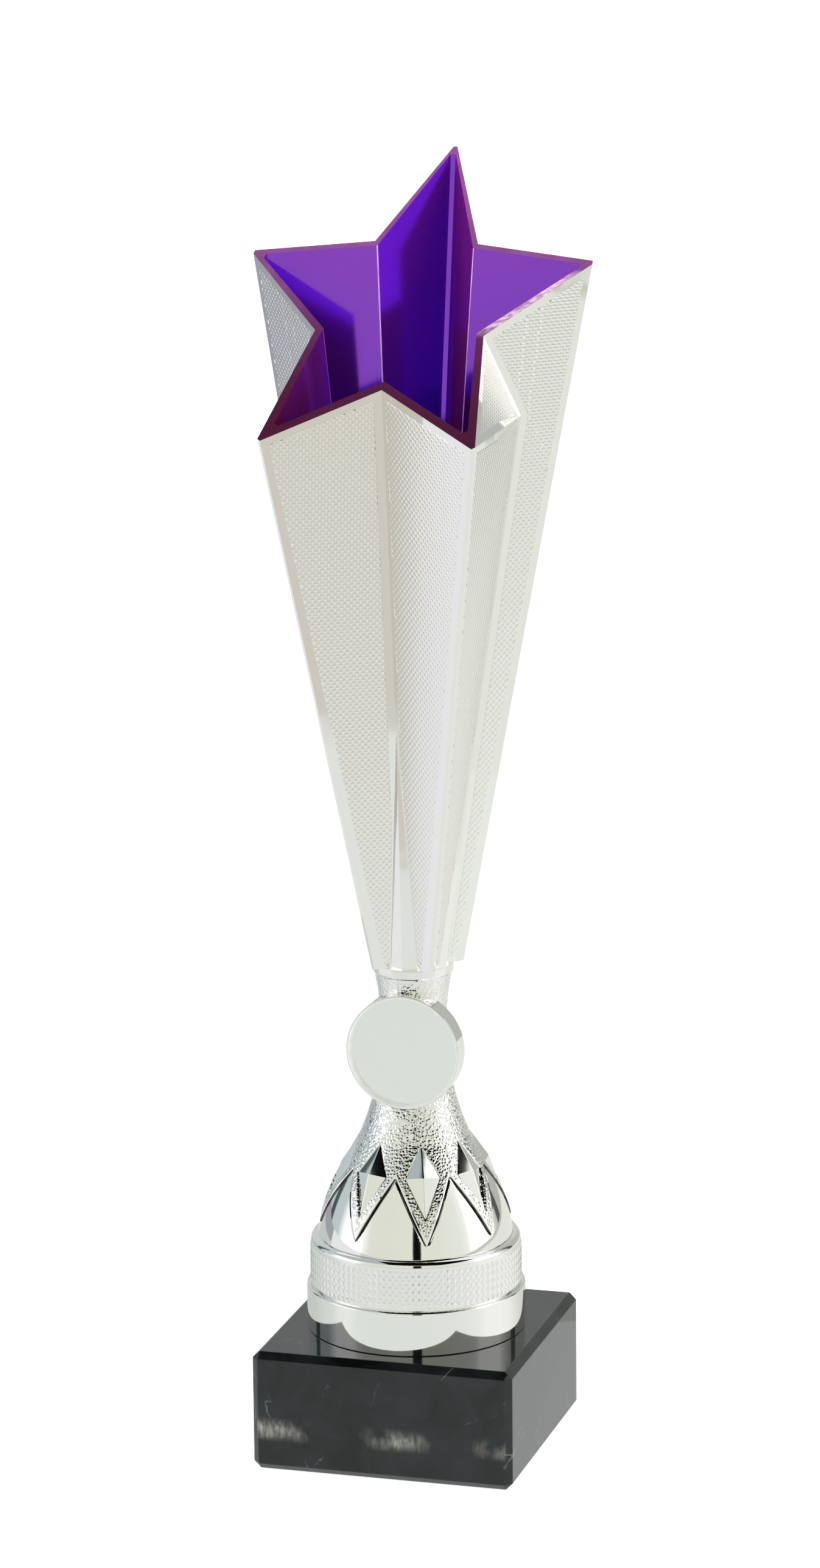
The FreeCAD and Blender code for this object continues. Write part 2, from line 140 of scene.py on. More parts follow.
def polished_marble():
    """Polished black marble: nearly black stone, clouded grey, with sparse pale calcite veins
    and a few hazy pale patches low on the front; the polish is a clear mirror over it."""
    cloud_per_metre = 1 / (14 * MM)
    vein_per_metre = 1 / (30 * MM)
    fleck_per_metre = 1 / (1.6 * MM)
    patch_per_metre = 1 / (9 * MM)
    stroke_per_metre = 1 / (1.0 * MM)
    front_face, behind_it = -30.9 * MM, -30.4 * MM
    paled_low, paled_middle, paled_high = 7 * MM, 10 * MM, 13.5 * MM
    material, tree, shader, place = new_material("polished_black_marble", IOR=1.5)
    cloud = add_node(tree, "TexNoise", {"Vector": place, "Scale": cloud_per_metre, "Detail": 6.0,
                                        "Roughness": 0.62, "Distortion": 0.6})
    stone = add_node(tree, "ValToRGB", {"Fac": cloud.outputs["Fac"]})
    stone.color_ramp.elements[0].position = 0.38
    stone.color_ramp.elements[0].color = colour("#070808")
    stone.color_ramp.elements[1].position = 0.72
    stone.color_ramp.elements[1].color = colour("#191C1E")
    course = add_node(tree, "TexNoise", {"Vector": place, "Scale": vein_per_metre, "Detail": 4.0,
                                         "Roughness": 0.45, "Distortion": 1.2})
    offset = add_node(tree, "Math", {0: course.outputs["Fac"], 1: 0.5}, operation="SUBTRACT")
    distance = add_node(tree, "Math", {0: offset.outputs[0]}, operation="ABSOLUTE")
    vein = add_node(tree, "MapRange", {"Value": distance.outputs[0], "From Min": 0.0,
                                       "From Max": 0.005, "To Min": 1.0, "To Max": 0.0})
    patchy = add_node(tree, "MapRange", {"Value": cloud.outputs["Fac"], "From Min": 0.5,
                                         "From Max": 0.66})
    faint = add_node(tree, "Math", {0: vein.outputs[0], 1: patchy.outputs[0]},
                     operation="MULTIPLY")
    fleck = add_node(tree, "TexVoronoi", {"Vector": place, "Scale": fleck_per_metre})
    dot = add_node(tree, "MapRange", {"Value": fleck.outputs["Distance"], "From Min": 0.05,
                                      "From Max": 0.09, "To Min": 1.0, "To Max": 0.0})
    rare = add_node(tree, "Math", {0: fleck.outputs["Color"], 1: 0.9}, operation="GREATER_THAN")
    flecks = add_node(tree, "Math", {0: dot.outputs[0], 1: rare.outputs[0]},
                      operation="MULTIPLY")
    marks = add_node(tree, "Math", {0: faint.outputs[0], 1: flecks.outputs[0]},
                     operation="MAXIMUM")
    veined = add_node(tree, "Mix", {0: marks.outputs[0], 6: stone.outputs["Color"],
                                    7: colour("#656C6D")}, data_type="RGBA")
    axes = add_node(tree, "SeparateXYZ", {"Vector": place})
    front = add_node(tree, "MapRange", {"Value": axes.outputs["Y"], "From Min": behind_it,
                                        "From Max": front_face})
    low = add_node(tree, "MapRange", {"Value": axes.outputs["Z"], "From Min": paled_low,
                                      "From Max": paled_middle},
                   interpolation_type="SMOOTHSTEP")
    high = add_node(tree, "MapRange", {"Value": axes.outputs["Z"], "From Min": paled_high,
                                       "From Max": paled_middle},
                    interpolation_type="SMOOTHSTEP")
    patches = add_node(tree, "TexNoise", {"Vector": place, "Scale": patch_per_metre,
                                          "Detail": 1.0})
    patch = add_node(tree, "MapRange", {"Value": patches.outputs["Fac"], "From Min": 0.45,
                                        "From Max": 0.7})
    upright = add_node(tree, "Mapping", {"Vector": place, "Scale": (1.0, 1.0, 0.3)})
    strokes = add_node(tree, "TexNoise", {"Vector": upright.outputs[0], "Scale": stroke_per_metre,
                                          "Detail": 5.0, "Roughness": 0.65})
    stroke = add_node(tree, "MapRange", {"Value": strokes.outputs["Fac"], "From Min": 0.3,
                                         "From Max": 0.8})
    haze = front
    for mask in (low, high, patch, stroke):
        haze = add_node(tree, "Math", {0: haze.outputs[0], 1: mask.outputs[0]},
                        operation="MULTIPLY")
    paled = add_node(tree, "Mix", {0: haze.outputs[0], 6: veined.outputs[2],
                                    7: colour("#A09E96")}, data_type="RGBA")
    tree.links.new(paled.outputs[2], shader.inputs["Base Color"])
    shader.inputs["Roughness"].default_value = 0.06
    return material


block = cad_copy("marble_base")
ease(block, BLOCK_EDGE_EASE, sharper_than=25)
make_piece("marble_block", block, [polished_marble()], "marble", "marble_base")


# Ring base. A turned-looking ring moulded in ABS and vacuum-metallised: a polished lower band,
# a band of moulded diamond knurling above a small step, and a rounded shoulder round the riser.

RING_WALL = 2.2
RING_POLISHED_RADIUS = 25.5
RING_KNURL_RADIUS = 24.5
RING_STEP = 10.5
RING_KNURL_TOP = 20.5
RING_SHOULDER = 22.3
RING_SHOULDER_ROUND = 1.5
RING_COLLAR_RADII = (19.6, 17.6)
RING_KNURL_COLUMNS = 102
RING_KNURL_ROWS = 5
RING_KNURL_RISE = 0.22
RING_KNURL_MARGIN = 0.3
RING_HALF_DIAMOND = 0.3


def settle(bm):
    """Rebuilds a mesh with its edges and faces in an order that is the same in every run, and
    its edges all pointing the same way, because a spin leaves that open."""
    bm.verts.index_update()
    count = len(bm.verts)
    for parts in (bm.edges, bm.faces):
        parts.sort(key=lambda part: min(v.index for v in part.verts) * count
                   + max(v.index for v in part.verts))
    loose = bpy.data.meshes.new("loose")
    bm.to_mesh(loose)
    for edge in loose.edges:
        edge.vertices = sorted(edge.vertices)
    bm.clear()
    bm.from_mesh(loose)
    bpy.data.meshes.remove(loose)


def turned(outline, steps):
    """Spins an outline of (radius, height, rounding) in mm about the Z axis. A closed outline
    repeats its first point; a rounding is how far the round starts from its corner."""
    bm = bmesh.new()
    closed = outline[0] == outline[-1]
    corners = [bm.verts.new((p[0] * MM, 0, p[1] * MM)) for p in outline[:-1 if closed else None]]
    for a, b in zip(corners, corners[1:] + corners[:1] if closed else corners[1:]):
        bm.edges.new((a, b))
    for corner, point in zip(corners, outline):
        if len(point) > 2:
            bmesh.ops.bevel(bm, geom=[corner], offset=point[2] * MM, offset_type="OFFSET",
                            affect="VERTICES", segments=5, profile=0.5, material=-1)
    bmesh.ops.spin(bm, geom=bm.verts[:] + bm.edges[:], cent=(0, 0, 0), axis=(0, 0, 1),
                   angle=2 * pi, steps=steps, use_merge=True)
    settle(bm)
    bmesh.ops.remove_doubles(bm, verts=bm.verts, dist=0.001 * MM)
    bmesh.ops.recalc_face_normals(bm, faces=bm.faces)
    return bm


def silver(name, roughness, grain_mm=None, grain_height=0.0):
    """Vacuum-metallised ABS: a film of aluminium under clear lacquer. The moulding below is not
    quite flat, so its reflections waver slightly."""
    material, tree, shader, place = new_material(
        name, Base_Color=colour("#F1F0EC"), Metallic=1.0, Roughness=roughness)
    waver_per_metre = 1 / (9 * MM)
    waver = add_node(tree, "TexNoise", {"Vector": place, "Scale": waver_per_metre,
                                        "Detail": 1.0})
    bump = add_node(tree, "Bump", {"Height": waver.outputs["Fac"], "Strength": 0.10,
                                   "Distance": 0.5 * MM})
    if grain_mm:
        grain = add_node(tree, "TexNoise", {"Vector": place, "Scale": 1 / (grain_mm * MM),
                                            "Detail": 2.0})
        bump = add_node(tree, "Bump", {"Height": grain.outputs["Fac"], "Strength": 0.35,
                                       "Distance": grain_height * MM,
                                       "Normal": bump.outputs["Normal"]})
    tree.links.new(bump.outputs["Normal"], shader.inputs["Normal"])
    return material


mirror_silver = silver("metallised_mirror_silver", 0.06)
textured_silver = silver("metallised_textured_silver", 0.16, grain_mm=0.35, grain_height=0.02)


def pebbled_silver():
    """The same film over a moulded pebble grain: small round domes, close together."""
    material, tree, shader, place = new_material(
        "metallised_pebbled_silver", Base_Color=colour("#F1F0EC"), Metallic=1.0, Roughness=0.1)
    pebble_per_metre = 1 / (0.68 * MM)
    pebble = add_node(tree, "TexVoronoi", {"Vector": place, "Scale": pebble_per_metre,
                                           "Randomness": 0.8})
    dome = add_node(tree, "MapRange", {"Value": pebble.outputs["Distance"], "From Min": 0.0,
                                       "From Max": 0.75, "To Min": 1.0, "To Max": 0.0},
                    interpolation_type="SMOOTHSTEP")
    bump = add_node(tree, "Bump", {"Height": dome.outputs[0], "Strength": 0.9,
                                   "Distance": 0.12 * MM})
    tree.links.new(bump.outputs["Normal"], shader.inputs["Normal"])
    return material


def in_band(face, low, high, radius):
    """True for a face that lies between two heights and outside a radius, in mm."""
    centre = face.calc_center_median()
    return low < centre.z / MM < high and centre.xy.length / MM > radius


def ring_base():
    foot, top = (corner.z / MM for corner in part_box("ring_base"))
    knurl_low = foot + RING_STEP + RING_KNURL_MARGIN
    knurl_high = foot + RING_KNURL_TOP - RING_KNURL_MARGIN
    row = (knurl_high - knurl_low) / RING_KNURL_ROWS
    shoulder = foot + RING_SHOULDER
    collar, collar_bore = RING_COLLAR_RADII
    inside_band = RING_KNURL_RADIUS - 0.5
    outline = [(RING_POLISHED_RADIUS - RING_WALL, foot), (RING_POLISHED_RADIUS, foot, 0.25),
               (RING_POLISHED_RADIUS, foot + RING_STEP, 0.6),
               (RING_KNURL_RADIUS, foot + RING_STEP)]
    outline += [(RING_KNURL_RADIUS, knurl_low + row * i) for i in range(RING_KNURL_ROWS + 1)]
    outline += [(RING_KNURL_RADIUS, shoulder, RING_SHOULDER_ROUND), (collar, shoulder),
                (collar, top), (collar_bore, top), (collar_bore, shoulder - RING_WALL),
                (RING_KNURL_RADIUS - RING_WALL, shoulder - RING_WALL),
                (RING_POLISHED_RADIUS - RING_WALL, foot)]
    bm = turned(outline, RING_KNURL_COLUMNS)
    band = [f for f in bm.faces if in_band(f, knurl_low, knurl_high, inside_band)]
    own = set(band)
    seams = [e for e in bm.edges if e.is_manifold and own.issuperset(e.link_faces)]
    bmesh.ops.poke(bm, faces=band)
    bmesh.ops.dissolve_edges(bm, edges=seams, use_verts=False)
    diamonds = [f for f in bm.faces if in_band(f, knurl_low, knurl_high, inside_band)]
    for edge in {e for f in diamonds for e in f.edges}:
        edge.smooth = False
    halves = [f for f in diamonds if len(f.verts) == 3]
    diamonds = [f for f in diamonds if len(f.verts) > 3]
    bmesh.ops.poke(bm, faces=diamonds, offset=RING_KNURL_RISE * MM)
    bmesh.ops.poke(bm, faces=halves, offset=RING_HALF_DIAMOND * RING_KNURL_RISE * MM)
    for face in bm.faces:
        knurled = in_band(face, knurl_low - RING_KNURL_MARGIN, knurl_high + RING_KNURL_MARGIN,
                          inside_band)
        face.material_index = 1 if knurled else 0
    make_piece("ring_base", bm, [mirror_silver, textured_silver], "metallised_plastic",
               "ring_base")


ring_base()


# Riser. One metallised ABS moulding: a slim pebbled neck that flares into a bell skirt. Eight
# cut-glass style diamonds stand on the skirt, each with a raised pebbled border that runs to a
# point on the polished bell below. A round holder on the neck seats a one-inch emblem.

BELL_FOOT = (22.75, 50.8)
BELL_WAIST = (18.4, 64.0)
BELL_ARC = 43
BELL_ARC_STEPS = 48
CONE_TOP = (12.65, 75.0)
NECK = (8.95, 113.4)
NECK_ARC = -65
NECK_ARC_STEPS = 10
FLANGE_RADIUS = 9.35
FLANGE_LOW = 113.8
RISER_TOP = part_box("riser")[1].z / MM
RISER_WALL = 2.0
RISER_TOP_PLATE = 2.5
ROD_HOLE = 3.3
INNER_STRIDE = 6
DIAMONDS = 8
DIAMOND_TOP = (12.65, 0.0, 75.0)
DIAMOND_SIDE = (16.3, radians(14.4), 68.1)
DIAMOND_FOOT = (20.55, 0.0, 59.4)
DIAMOND_CREST = (17.2, 0.0, 68.6)
DIAMOND_ROOT = 2.2
UNDER_DIAMOND = (20.0, 0.0, 50.0)
DIAMOND_MIDDLE = (17.0, 0.0, 68.0)
BORDER_TIP = (22.1, 0.0, 53.6)
BORDER_NODE = (16.5, pi / DIAMONDS, 68.4)
BORDER_LIFT = 0.4
LIFT_FADES_FROM = 62
LIFT_FADE = 14
DIAMOND_GROOVE = 0.22
DIAMOND_SINK = 0.06
HIDDEN_SLOPE = 1.4
HIDDEN_DEPTH = 0.7
GROOVE_WIDTH = 0.55
GROOVE_DEPTH = 0.38
# How far out from the border's edge, and how far along it, the groove gets its painted shade.
GROOVE_SHADE_REACH = 0.24
GROOVE_SHADE_REACH_SPAN = (0.03, 0.97)
GROOVE_EASE = 0.05
BORDER_WALL = 0.1
BORDER_WALL_SHARE = 0.7
BORDER_SHOULDER = 0.35
BORDER_RIM = 0.6
PEBBLE = 0.75
PEBBLE_RISE = 0.03
PEBBLE_EDGE = 0.5
PEBBLE_LEVEL = 0.7
GRAIN_EDGE = 0.2
GRAIN_END = (0.1, 0.4)
GRAIN_CALM = 0.45
GRAIN_GROWS = 10
CRISP_ANGLE = 22
RIDGE_EASE = 0.16 * MM
GRAIN_ROW = 0.3
SECTOR_STEPS = 42
HOLDER_RADIUS = 13.45
EMBLEM_RADIUS = 12.7
EMBLEM_RECESS = 1.5
EMBLEM_DEPTH = 5.9
EMBLEM_FACE = -9.9
EMBLEM_HEIGHT = 96.4
# How far the neck's front is pressed back, behind the seat and just below it.
HOLDER_TUCK = 0.3
THROAT_TUCK = 0.4
THROAT_SLOPE = 0.5
THROAT_LENGTH = 10
PLAIN, PEBBLED, GROOVE, SEAT = range(4)


def arc(start, end, radius, count):
    """Points from start to end on an arc; a positive radius bulges away from the axis."""
    (ar, az), (br, bz) = start, end
    chord = hypot(br - ar, bz - az)
    reach = sqrt(radius * radius - chord * chord / 4) * (1 if radius > 0 else -1)
    centre_r = (ar + br) / 2 - reach * (bz - az) / chord
    centre_z = (az + bz) / 2 + reach * (br - ar) / chord
    first = atan2(az - centre_z, ar - centre_r)
    last = atan2(bz - centre_z, br - centre_r)
    turn = (last - first + pi) % (2 * pi) - pi
    return [(centre_r + abs(radius) * cos(first + turn * i / count),
             centre_z + abs(radius) * sin(first + turn * i / count)) for i in range(1, count + 1)]


def on_skirt(radius, turn, height):
    """A point of the first sector, which is centred on the X axis."""
    return Vector((radius * cos(turn), radius * sin(turn), height)) * MM


def edge_plane(a, b, away_from):
    """The plane through two points and square to the skirt, facing away from a third point."""
    outward = (a + b) / 2
    outward.z = 0
    normal = (b - a).cross(outward).normalized()
    if normal.dot(away_from - a) > 0:
        normal.negate()
    return a, normal


def sector_planes():
    """The diamond's four edge planes, facing away from it, and its border's two, facing up."""
    top, foot = on_skirt(*DIAMOND_TOP), on_skirt(*DIAMOND_FOOT)
    tip, low = on_skirt(*BORDER_TIP), on_skirt(*UNDER_DIAMOND)
    middle = on_skirt(*DIAMOND_MIDDLE)
    diamond, border = [], []
    for side in (1, -1):
        radius, turn, height = DIAMOND_SIDE
        corner = on_skirt(radius, side * turn, height)
        diamond.append(edge_plane(top, corner, middle))
        diamond.append(edge_plane(corner, foot, middle))
        radius, turn, height = BORDER_NODE
        border.append(edge_plane(tip, on_skirt(radius, side * turn, height),
                                 low + Vector((0, side * 8 * MM, 0))))
    return diamond, border


DIAMOND_PLANES, BORDER_PLANES = sector_planes()


def smooth_step(value):
    value = min(max(value, 0.0), 1.0)
    return value * value * (3 - 2 * value)


def coat(point):
    """How far the skirt's surface rises at a point, in mm, how much of its pebble grain shows,
    and whether it lies deep in a groove, where dark silver is painted in as shade. The groove
    runs along the border's outside, deepest halfway up, and the border's edge stands up steeply
    from it; the surface sinks away under the diamonds."""
    sector = 2 * pi / DIAMONDS
    turn = (atan2(point.y, point.x) + sector / 2) % sector - sector / 2
    height = point.z / MM
    local = on_skirt(point.xy.length / MM, turn, height)
    outside = max((local - at).dot(normal) for at, normal in DIAMOND_PLANES) / MM
    at, normal = BORDER_PLANES[0 if turn > 0 else 1]
    above = (local - at).dot(normal) / MM
    lift = BORDER_LIFT * (1 - smooth_step((height - LIFT_FADES_FROM) / LIFT_FADE))
    along = (height - BORDER_TIP[2]) / (BORDER_NODE[2] - BORDER_TIP[2])
    groove = GROOVE_DEPTH * max(4 * along * (1 - along), 0)
    first, last = GROOVE_SHADE_REACH_SPAN
    deep = -GROOVE_SHADE_REACH < above < BORDER_WALL and first < along < last
    if above < -GROOVE_EASE:
        return -groove * max(above + GROOVE_WIDTH, 0) / (GROOVE_WIDTH - GROOVE_EASE), 0, deep
    if above < BORDER_WALL:
        share = (above + GROOVE_EASE) / (BORDER_WALL + GROOVE_EASE)
        return (BORDER_WALL_SHARE * lift + groove) * share - groove, 0, deep
    share = (above - BORDER_WALL) / (BORDER_SHOULDER - BORDER_WALL)
    rise = lift * min(BORDER_WALL_SHARE + (1 - BORDER_WALL_SHARE) * share, 1)
    if outside < 0:
        return -DIAMOND_SINK - min(-HIDDEN_SLOPE * outside, HIDDEN_DEPTH), 0, False
    if outside < DIAMOND_GROOVE:
        rise = (rise + DIAMOND_SINK) * outside / DIAMOND_GROOVE - DIAMOND_SINK
    grain = max(min(outside / DIAMOND_GROOVE, (above - BORDER_RIM) / GRAIN_EDGE, 1.0), 0.0)
    return rise, grain, False


def add_mesh(bm, extra):
    """Adds a bmesh to another and returns the new faces."""
    own = set(bm.faces)
    loose = bpy.data.meshes.new("loose")
    extra.to_mesh(loose)
    extra.free()
    bm.from_mesh(loose)
    bpy.data.meshes.remove(loose)
    return [face for face in bm.faces if face not in own]


def uneven_coat(tree, place, size, detail, *tones):
    """A coat whose colour drifts between two tones over a size in mm: the nodes of its drift
    and of its colour. Each tone is where in the drift it is reached, and a hex value."""
    drift = add_node(tree, "TexNoise", {"Vector": place, "Scale": 1 / (size * MM),
                                        "Detail": detail})
    tint = add_node(tree, "ValToRGB", {"Fac": drift.outputs["Fac"]})
    for stop, (position, hex_value) in zip(tint.color_ramp.elements, tones):
        stop.position = position
        stop.color = colour(hex_value)
    return drift, tint


def groove_painted_shade():
    """The bottoms of the narrow grooves, painted dark as the shade that falls in them."""
    material, tree, shader, place = new_material(
        "metallised_groove_painted_shade", Metallic=1.0, Roughness=0.2)
    # Dark tones: painted shade, not the film's own colour.
    film = uneven_coat(tree, place, 2.5, 2.0, (0.35, "#3C3D3B"), (0.7, "#6C6D6A"))[1]
    tree.links.new(film.outputs["Color"], shader.inputs["Base Color"])
    return material


def seat_silver():
    """The steep wall of the emblem's seat: a thin film over pale ABS, hazy and even."""
    material, tree, shader, place = new_material(
        "metallised_seat_silver", Metallic=0.4, Roughness=0.45)
    film = uneven_coat(tree, place, 3.0, 2.0, (0.0, "#DDE0DE"), (1.0, "#F4F6F4"))[1]
    tree.links.new(film.outputs["Color"], shader.inputs["Base Color"])
    return material


def turn_mesh(bm, angle):
    """Turns a mesh about the Z axis."""
    bmesh.ops.rotate(bm, verts=bm.verts, cent=(0, 0, 0), matrix=Matrix.Rotation(angle, 3, "Z"))


def cut(bm, plane, shift, is_near):
    """Cuts the faces near a plane along it, shifted outwards by so many mm."""
    at, normal = plane
    near = [f for f in bm.faces if is_near(f.calc_center_median())]
    parts = list(dict.fromkeys(part for f in near for part in (*f.edges, *f.verts)))
    bmesh.ops.bisect_plane(bm, geom=near + parts, dist=0.01 * MM,
                           plane_co=at + normal * shift * MM, plane_no=normal)


def riser():
    skirt = [BELL_FOOT] + arc(BELL_FOOT, BELL_WAIST, BELL_ARC, BELL_ARC_STEPS)
    skirt += [CONE_TOP] + arc(CONE_TOP, NECK, NECK_ARC, NECK_ARC_STEPS)

    bm = bmesh.new()
    points = [bm.verts.new((r * MM, 0, z * MM)) for r, z in skirt]
    for a, b in zip(points, points[1:]):
        bm.edges.new((a, b))
    for edge in bm.edges[:]:
        cuts = round(edge.calc_length() / (GRAIN_ROW * MM)) - 1
        if cuts > 0:
            bmesh.ops.subdivide_edges(bm, edges=[edge], cuts=cuts)
    sector = 2 * pi / DIAMONDS
    turn_mesh(bm, -sector / 2)
    bmesh.ops.spin(bm, geom=bm.verts[:] + bm.edges[:], cent=(0, 0, 0), axis=(0, 0, 1),
                   angle=sector, steps=SECTOR_STEPS)
    settle(bm)
    for plane in DIAMOND_PLANES:
        for shift in (0, DIAMOND_GROOVE):
            cut(bm, plane, shift,
                lambda centre: DIAMOND_FOOT[2] - 1 < centre.z / MM < DIAMOND_TOP[2] + 1)
    for side, plane in zip((1, -1), BORDER_PLANES):
        for shift in (-GROOVE_WIDTH, -GROOVE_SHADE_REACH, -GROOVE_EASE, BORDER_WALL, BORDER_SHOULDER,
                      BORDER_RIM):
            cut(bm, plane, shift,
                lambda centre: centre.y * side > 0 and centre.z / MM < BORDER_NODE[2] + 1)
    turn_mesh(bm, sector / 2 - pi / 2)
    bmesh.ops.spin(bm, geom=bm.verts[:] + bm.edges[:] + bm.faces[:], cent=(0, 0, 0),
                   axis=(0, 0, 1), angle=2 * pi, steps=DIAMONDS, use_duplicate=True)
    bmesh.ops.remove_doubles(bm, verts=bm.verts, dist=0.02 * MM)
    bmesh.ops.recalc_face_normals(bm, faces=bm.faces)
    bm.normal_update()
    if sum(f.normal.dot(f.calc_center_median()) for f in bm.faces[:50]) < 0:
        bmesh.ops.reverse_faces(bm, faces=bm.faces)
        bm.normal_update()

    phase = Matrix.Rotation(pi / 2 - sector / 2, 3, "Z")
    # Faces deep in a groove get dark silver as painted shade.
    dark = [face for face in bm.faces if coat(phase @ face.calc_center_median())[2]]
    covers = {}
    moves = []
    for vert in bm.verts:
        rise, grain = coat(phase @ vert.co)[:2]
        covers[vert] = grain
        near, second = noise.voronoi(vert.co / (PEBBLE * MM))[0][:2]
        pebble = smooth_step((second - near) / PEBBLE_EDGE)
        ends = smooth_step((NECK[1] - GRAIN_END[0] - vert.co.z / MM) / GRAIN_END[1])
        grown = smooth_step((vert.co.z / MM - LIFT_FADES_FROM) / GRAIN_GROWS)
        calm = GRAIN_CALM + (1 - GRAIN_CALM) * grown
        rise += PEBBLE_RISE * (pebble - PEBBLE_LEVEL) * ends * calm * grain
        moves.append((vert, vert.normal * rise * MM))
    for vert, move in moves:
        vert.co += move
    for vert in bm.verts:
        under = hypot(vert.co.x / MM, vert.co.z / MM - EMBLEM_HEIGHT) < HOLDER_RADIUS
        below = EMBLEM_HEIGHT - HOLDER_RADIUS - vert.co.z / MM
        if under:
            vert.co.y = max(vert.co.y, (EMBLEM_FACE + EMBLEM_RECESS + HOLDER_TUCK) * MM)
        elif 0 < below < THROAT_LENGTH:
            throat = EMBLEM_FACE + THROAT_TUCK - THROAT_SLOPE * below
            vert.co.y = max(vert.co.y, throat * MM)
    for face in bm.faces:
        face.material_index = PEBBLED if sum(covers[v] for v in face.verts) > 0.01 else PLAIN
    for face in dark:
        face.material_index = GROOVE
    bm.normal_update()
    shade([e for e in bm.edges if not any(f.material_index == PEBBLED for f in e.link_faces)],
          CRISP_ANGLE)

    plate_low = RISER_TOP - RISER_TOP_PLATE
    cap = [(FLANGE_RADIUS, FLANGE_LOW, 0.35), (FLANGE_RADIUS, RISER_TOP), (ROD_HOLE, RISER_TOP),
           (ROD_HOLE, plate_low), (NECK[0] - RISER_WALL, plate_low)]
    inner = [(r - RISER_WALL, z) for r, z in reversed(skirt)][1::INNER_STRIDE]
    shell = turned([NECK] + cap + inner + [BELL_FOOT], SECTOR_STEPS * DIAMONDS)
    turn_mesh(shell, -pi / 2)
    add_mesh(bm, shell)
    bmesh.ops.remove_doubles(bm, verts=[v for v in bm.verts if v.is_boundary], dist=0.02 * MM)

    for k in range(DIAMONDS):
        turn = Matrix.Rotation(sector * (k + 0.5) - pi / 2, 4, "Z")
        radius, side, height = DIAMOND_SIDE
        corners = [on_skirt(*DIAMOND_TOP), on_skirt(*DIAMOND_FOOT), on_skirt(*DIAMOND_CREST),
                   on_skirt(radius, side, height), on_skirt(radius, -side, height),
                   on_skirt(radius - DIAMOND_ROOT, 0, height)]
        gem = bmesh.new()
        bmesh.ops.convex_hull(gem, input=[gem.verts.new(turn @ c) for c in corners])
        ease(gem, RIDGE_EASE, sharper_than=8)
        add_mesh(bm, gem)

    holder = turned([(0, -EMBLEM_DEPTH), (HOLDER_RADIUS, -EMBLEM_DEPTH, 0.5),
                     (HOLDER_RADIUS, 0, 0.12), (EMBLEM_RADIUS + 0.2, 0, 0.06),
                     (EMBLEM_RADIUS, -EMBLEM_RECESS),
                     (EMBLEM_RADIUS - 0.5, -EMBLEM_RECESS), (0, -EMBLEM_RECESS)], 128)
    bmesh.ops.transform(holder, verts=holder.verts, matrix=Matrix.Translation(
        (0, EMBLEM_FACE * MM, EMBLEM_HEIGHT * MM)) @ Matrix.Rotation(pi / 2, 4, "X"))
    for face in add_mesh(bm, holder):
        centre = face.calc_center_median() / MM
        from_axis = hypot(centre.x, centre.z - EMBLEM_HEIGHT)
        if EMBLEM_RADIUS - 0.2 < from_axis < EMBLEM_RADIUS + 0.25:
            face.material_index = SEAT

    make_piece("riser", bm, [mirror_silver, pebbled_silver(), groove_painted_shade(), seat_silver()],
               "metallised_plastic", "riser", smooth_below=40)


riser()


# Star cup. One metallised ABS moulding: a tall five-pointed star whose points are blunted to
# narrow strips. Each side is a fine diamond-knurled panel inside a plain border. The inside and
# the lip are lacquered translucent purple over the silver.

KNURL_PITCH = 1.5 * MM
KNURL_RISE = 0.2
TRIANGLE_KNURL = 0.6
SHARP = radians(20)
INNER_EASE = 0.7 * MM
# The width of the rounded inner ridges, which carry a painted highlight.
RIDGE_HIGHLIGHT_WIDTH = 0.18 * MM
OUTER_EASE = 0.22 * MM
LIP_BORDER = 1.8
TIP_BORDER_HIGH = 1.5
TIP_BORDER_LOW = 2.4
CREASE_BORDER = 1.7
FRONT_VALLEY_BORDER = (1.9, 1.0)
GUSSET_BORDER = 0.3
FOOT_BORDER = 0.7
PANEL_AREA = 300 * MM * MM
CUP_FOOT, CUP_TOP = (corner.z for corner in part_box("star_cup"))
RIM_NORMAL = Vector((0, -0.597, 0.802))
SILVER, KNURLED, PURPLE, PLUM, RIDGE_HIGHLIGHT = range(5)


def faces_out(face):
    """True for a wall face on the cup's outside."""
    centre = face.calc_center_median()
    return face.normal.x * centre.x + face.normal.y * centre.y > 0


def is_lip(face):
    """True for a face of the sloping lip."""
    return face.normal.dot(RIM_NORMAL) > 0.99


def border_widths(panel, other, ends):
    """The plain border beside a panel's edge, at both of the edge's ends, in mm."""
    if is_lip(other):
        return LIP_BORDER, LIP_BORDER
    if other.calc_area() > PANEL_AREA:
        if panel.normal.y < -0.8 and other.normal.y < -0.8:
            width = FRONT_VALLEY_BORDER[0 if panel.normal.x > 0 else 1]
            return width, width
        return CREASE_BORDER, CREASE_BORDER
    if other.normal.z < -0.9:
        return FOOT_BORDER, FOOT_BORDER
    if len(other.verts) == 3:
        return GUSSET_BORDER, GUSSET_BORDER
    low_high = [TIP_BORDER_LOW + (TIP_BORDER_HIGH - TIP_BORDER_LOW)
                * (v.co.z - CUP_FOOT) / (CUP_TOP - CUP_FOOT) for v in ends]
    return low_high[0], low_high[1]


def border_lines(panel):
    """The knurl's limits on a panel, as planes facing out."""
    lines = []
    for loop in panel.loops:
        a, b = loop.vert, loop.link_loop_next.vert
        inward = panel.normal.cross(b.co - a.co).normalized()
        other = next(f for f in loop.edge.link_faces if f != panel)
        start, end = border_widths(panel, other, (a, b))
        start, end = a.co + inward * start * MM, b.co + inward * end * MM
        lines.append((start, (end - start).cross(panel.normal).normalized()))
    return lines


def everything(bm):
    return bm.verts[:] + bm.edges[:] + bm.faces[:]


